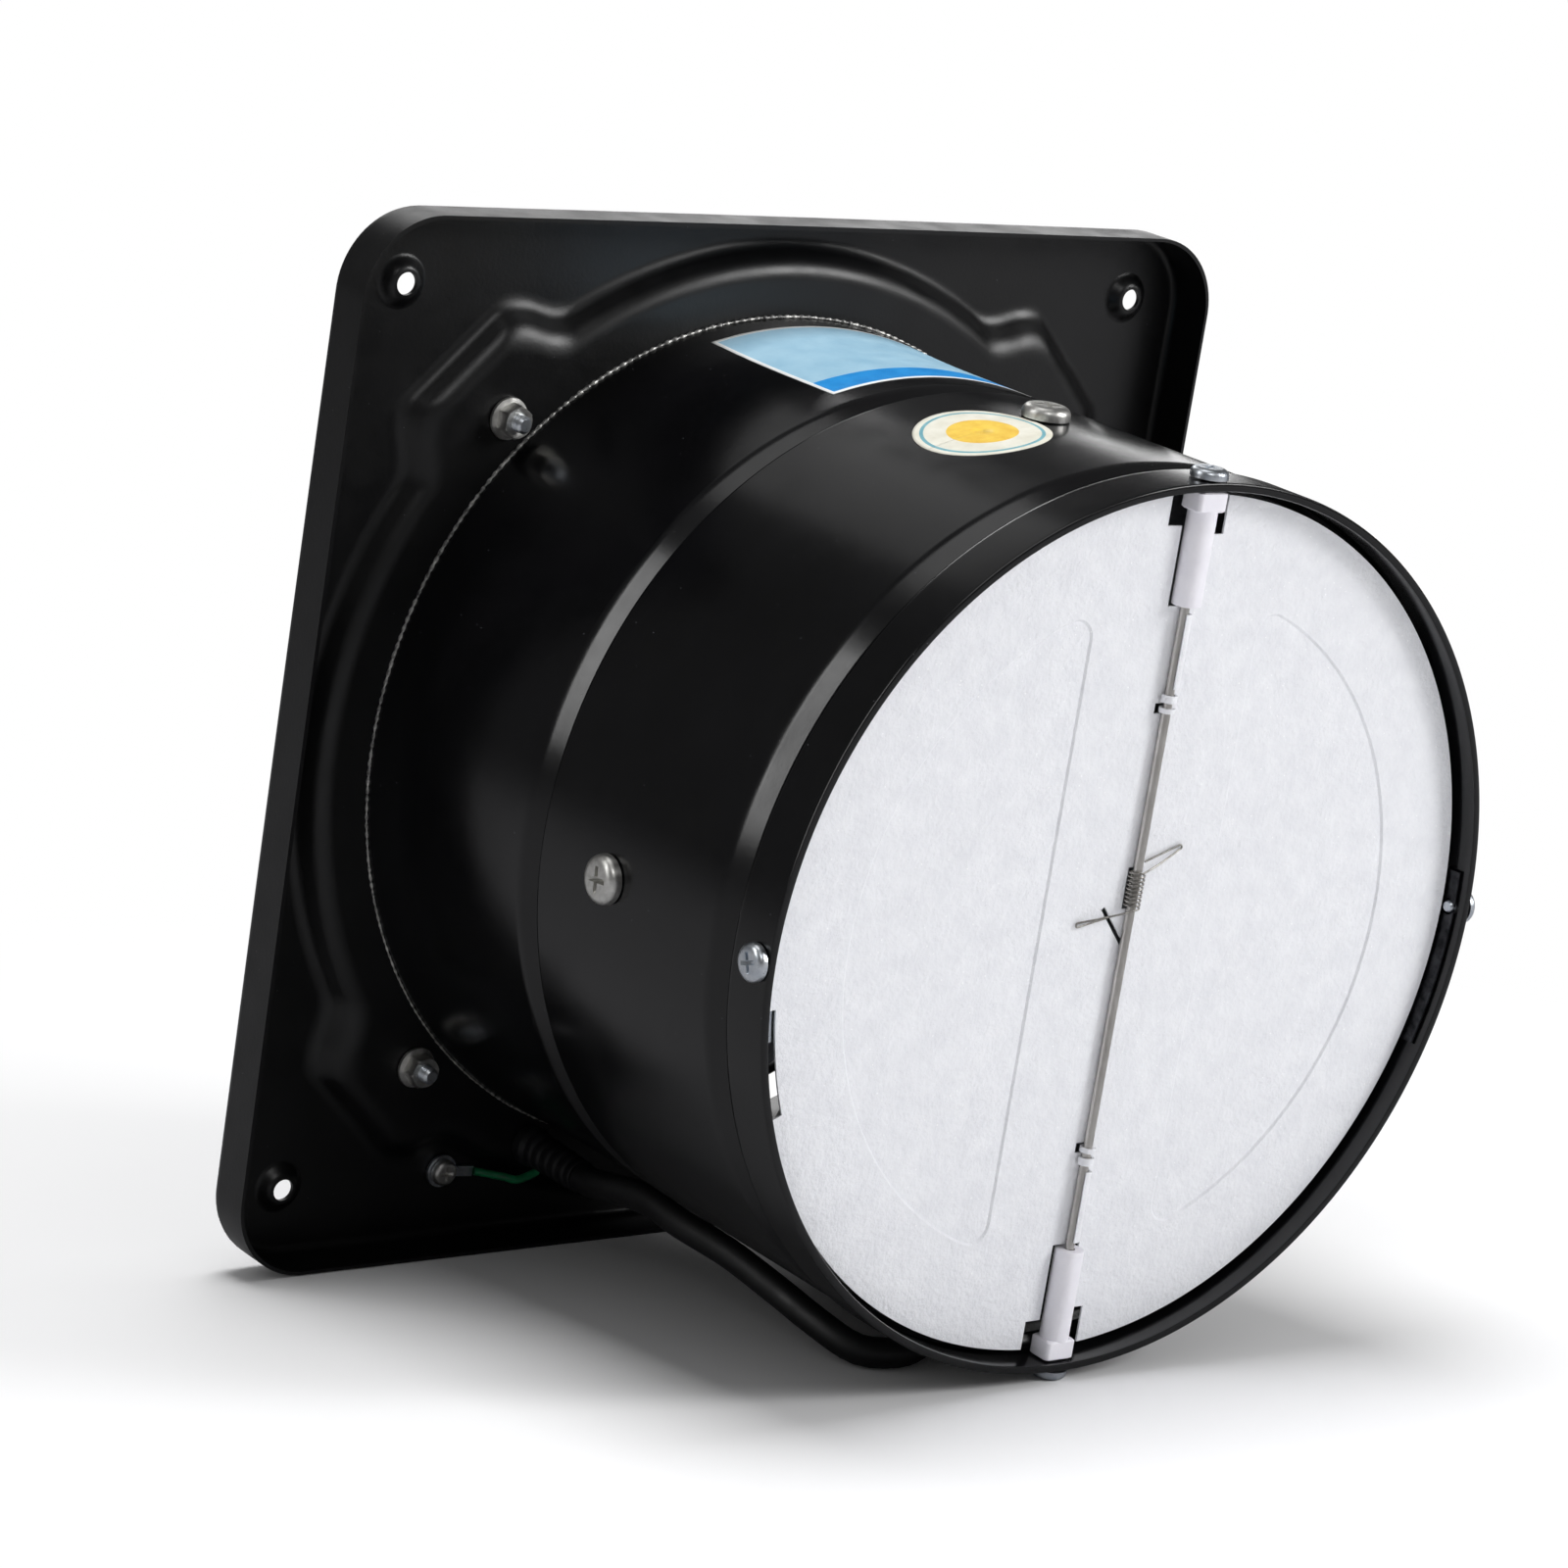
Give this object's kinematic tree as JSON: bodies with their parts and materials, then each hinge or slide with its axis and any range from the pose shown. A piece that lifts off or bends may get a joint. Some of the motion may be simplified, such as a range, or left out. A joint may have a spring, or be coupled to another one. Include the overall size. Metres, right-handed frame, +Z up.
{
  "type": "wall exhaust fan",
  "caption": "Square wall plate with a short round duct, wire guard, motor, bladed impeller and two sprung outlet flaps, with a mains lead and plug.",
  "frame": {"origin": "on the floor under the middle of the fan's box, measured without the lead", "axes": "+Z up from the floor, +X to the right seen from the outlet, +Y from the outlet toward the room side; the fan leans forward to rest on its plate's lower edge and a rim screw"},
  "size_m": [0.3498, 0.2561, 0.2488],
  "materials": {
    "black_paint": "black gloss stoved paint on pressed steel",
    "guard_paint": "black dip-coated steel wire",
    "motor_paint": "dark painted motor housing",
    "zinc": "bright zinc-plated steel",
    "bright_steel": "bright plated steel",
    "rod_steel": "drawn steel rod",
    "spring_steel": "dark spring wire",
    "core_steel": "stacked core sheets",
    "copper": "enamelled copper winding",
    "flap_coat": "thin aluminium sheet with a pale matt coat",
    "white_nylon": "moulded white nylon",
    "blade_metal": "pressed aluminium",
    "black_rubber": "black sheath",
    "green_sheath": "green wire sheath",
    "plug_plastic": "moulded black plug",
    "pin_brass": "plated brass pins"
  },
  "bodies": {
    "housing": {"wall_plate": "black_paint", "duct": "black_paint", "motor_bracket": "black_paint", "guard": "guard_paint", "motor_shell": "motor_paint", "motor_room_cap": "motor_paint", "motor_duct_cap": "motor_paint", "stator": "core_steel", "room_winding": "copper", "duct_winding": "copper", "room_bearing": "bright_steel", "duct_bearing": "bright_steel", "hinge_rod": "rod_steel", "top_post": "white_nylon", "bottom_post": "white_nylon", "left_stop": "zinc", "right_stop": "zinc", "torsion_spring": "spring_steel", "lead_sleeve": "black_rubber", "mains_lead": "black_rubber", "lead_coil": "black_rubber", "motor_lead": "black_rubber", "earth_lead": "green_sheath", "earth_tag": "zinc", "earth_screw": "bright_steel", "plug": "plug_plastic", "front_pin": "pin_brass", "back_pin": "pin_brass", "earth_pin": "pin_brass", "guard_screw_1": "zinc", "guard_nut_1": "bright_steel", "bracket_screw_1": "bright_steel", "motor_screw_1": "zinc", "guard_screw_2": "zinc", "guard_nut_2": "bright_steel", "bracket_screw_2": "bright_steel", "motor_screw_2": "zinc", "guard_screw_3": "zinc", "guard_nut_3": "bright_steel", "bracket_screw_3": "bright_steel", "motor_screw_3": "zinc", "guard_screw_4": "zinc", "guard_nut_4": "bright_steel", "bracket_screw_4": "bright_steel", "motor_screw_4": "zinc", "post_screw_1": "zinc", "stop_screw_1": "zinc", "post_screw_2": "zinc", "stop_screw_2": "zinc"},
    "impeller_group": {"impeller": "blade_metal", "impeller_nut": "bright_steel", "shaft": "bright_steel", "rotor": "core_steel"},
    "left_flap_group": {"left_flap": "flap_coat"},
    "right_flap_group": {"right_flap": "flap_coat"}
  },
  "joints": [
    {"name": "impeller_spin", "type": "hinge", "parent": "housing", "child": "impeller_group", "pos_m": [0, 0.05935, 0.1237], "axis": [0, -0.9896, -0.1439], "continuous": true},
    {"name": "left_flap_swing", "type": "hinge", "parent": "housing", "child": "left_flap_group", "pos_m": [0, -0.07939, 0.10353], "axis": [0, -0.1439, 0.9896], "range_deg": [0, 80], "stiffness_Nm_per_rad": 0.006, "springref_deg": -34.38, "deforming": ["torsion_spring"]},
    {"name": "right_flap_swing", "type": "hinge", "parent": "housing", "child": "right_flap_group", "pos_m": [0, -0.07939, 0.10353], "axis": [0, 0.1439, -0.9896], "range_deg": [0, 80], "stiffness_Nm_per_rad": 0.006, "springref_deg": -34.38, "deforming": ["torsion_spring"]}
  ]
}
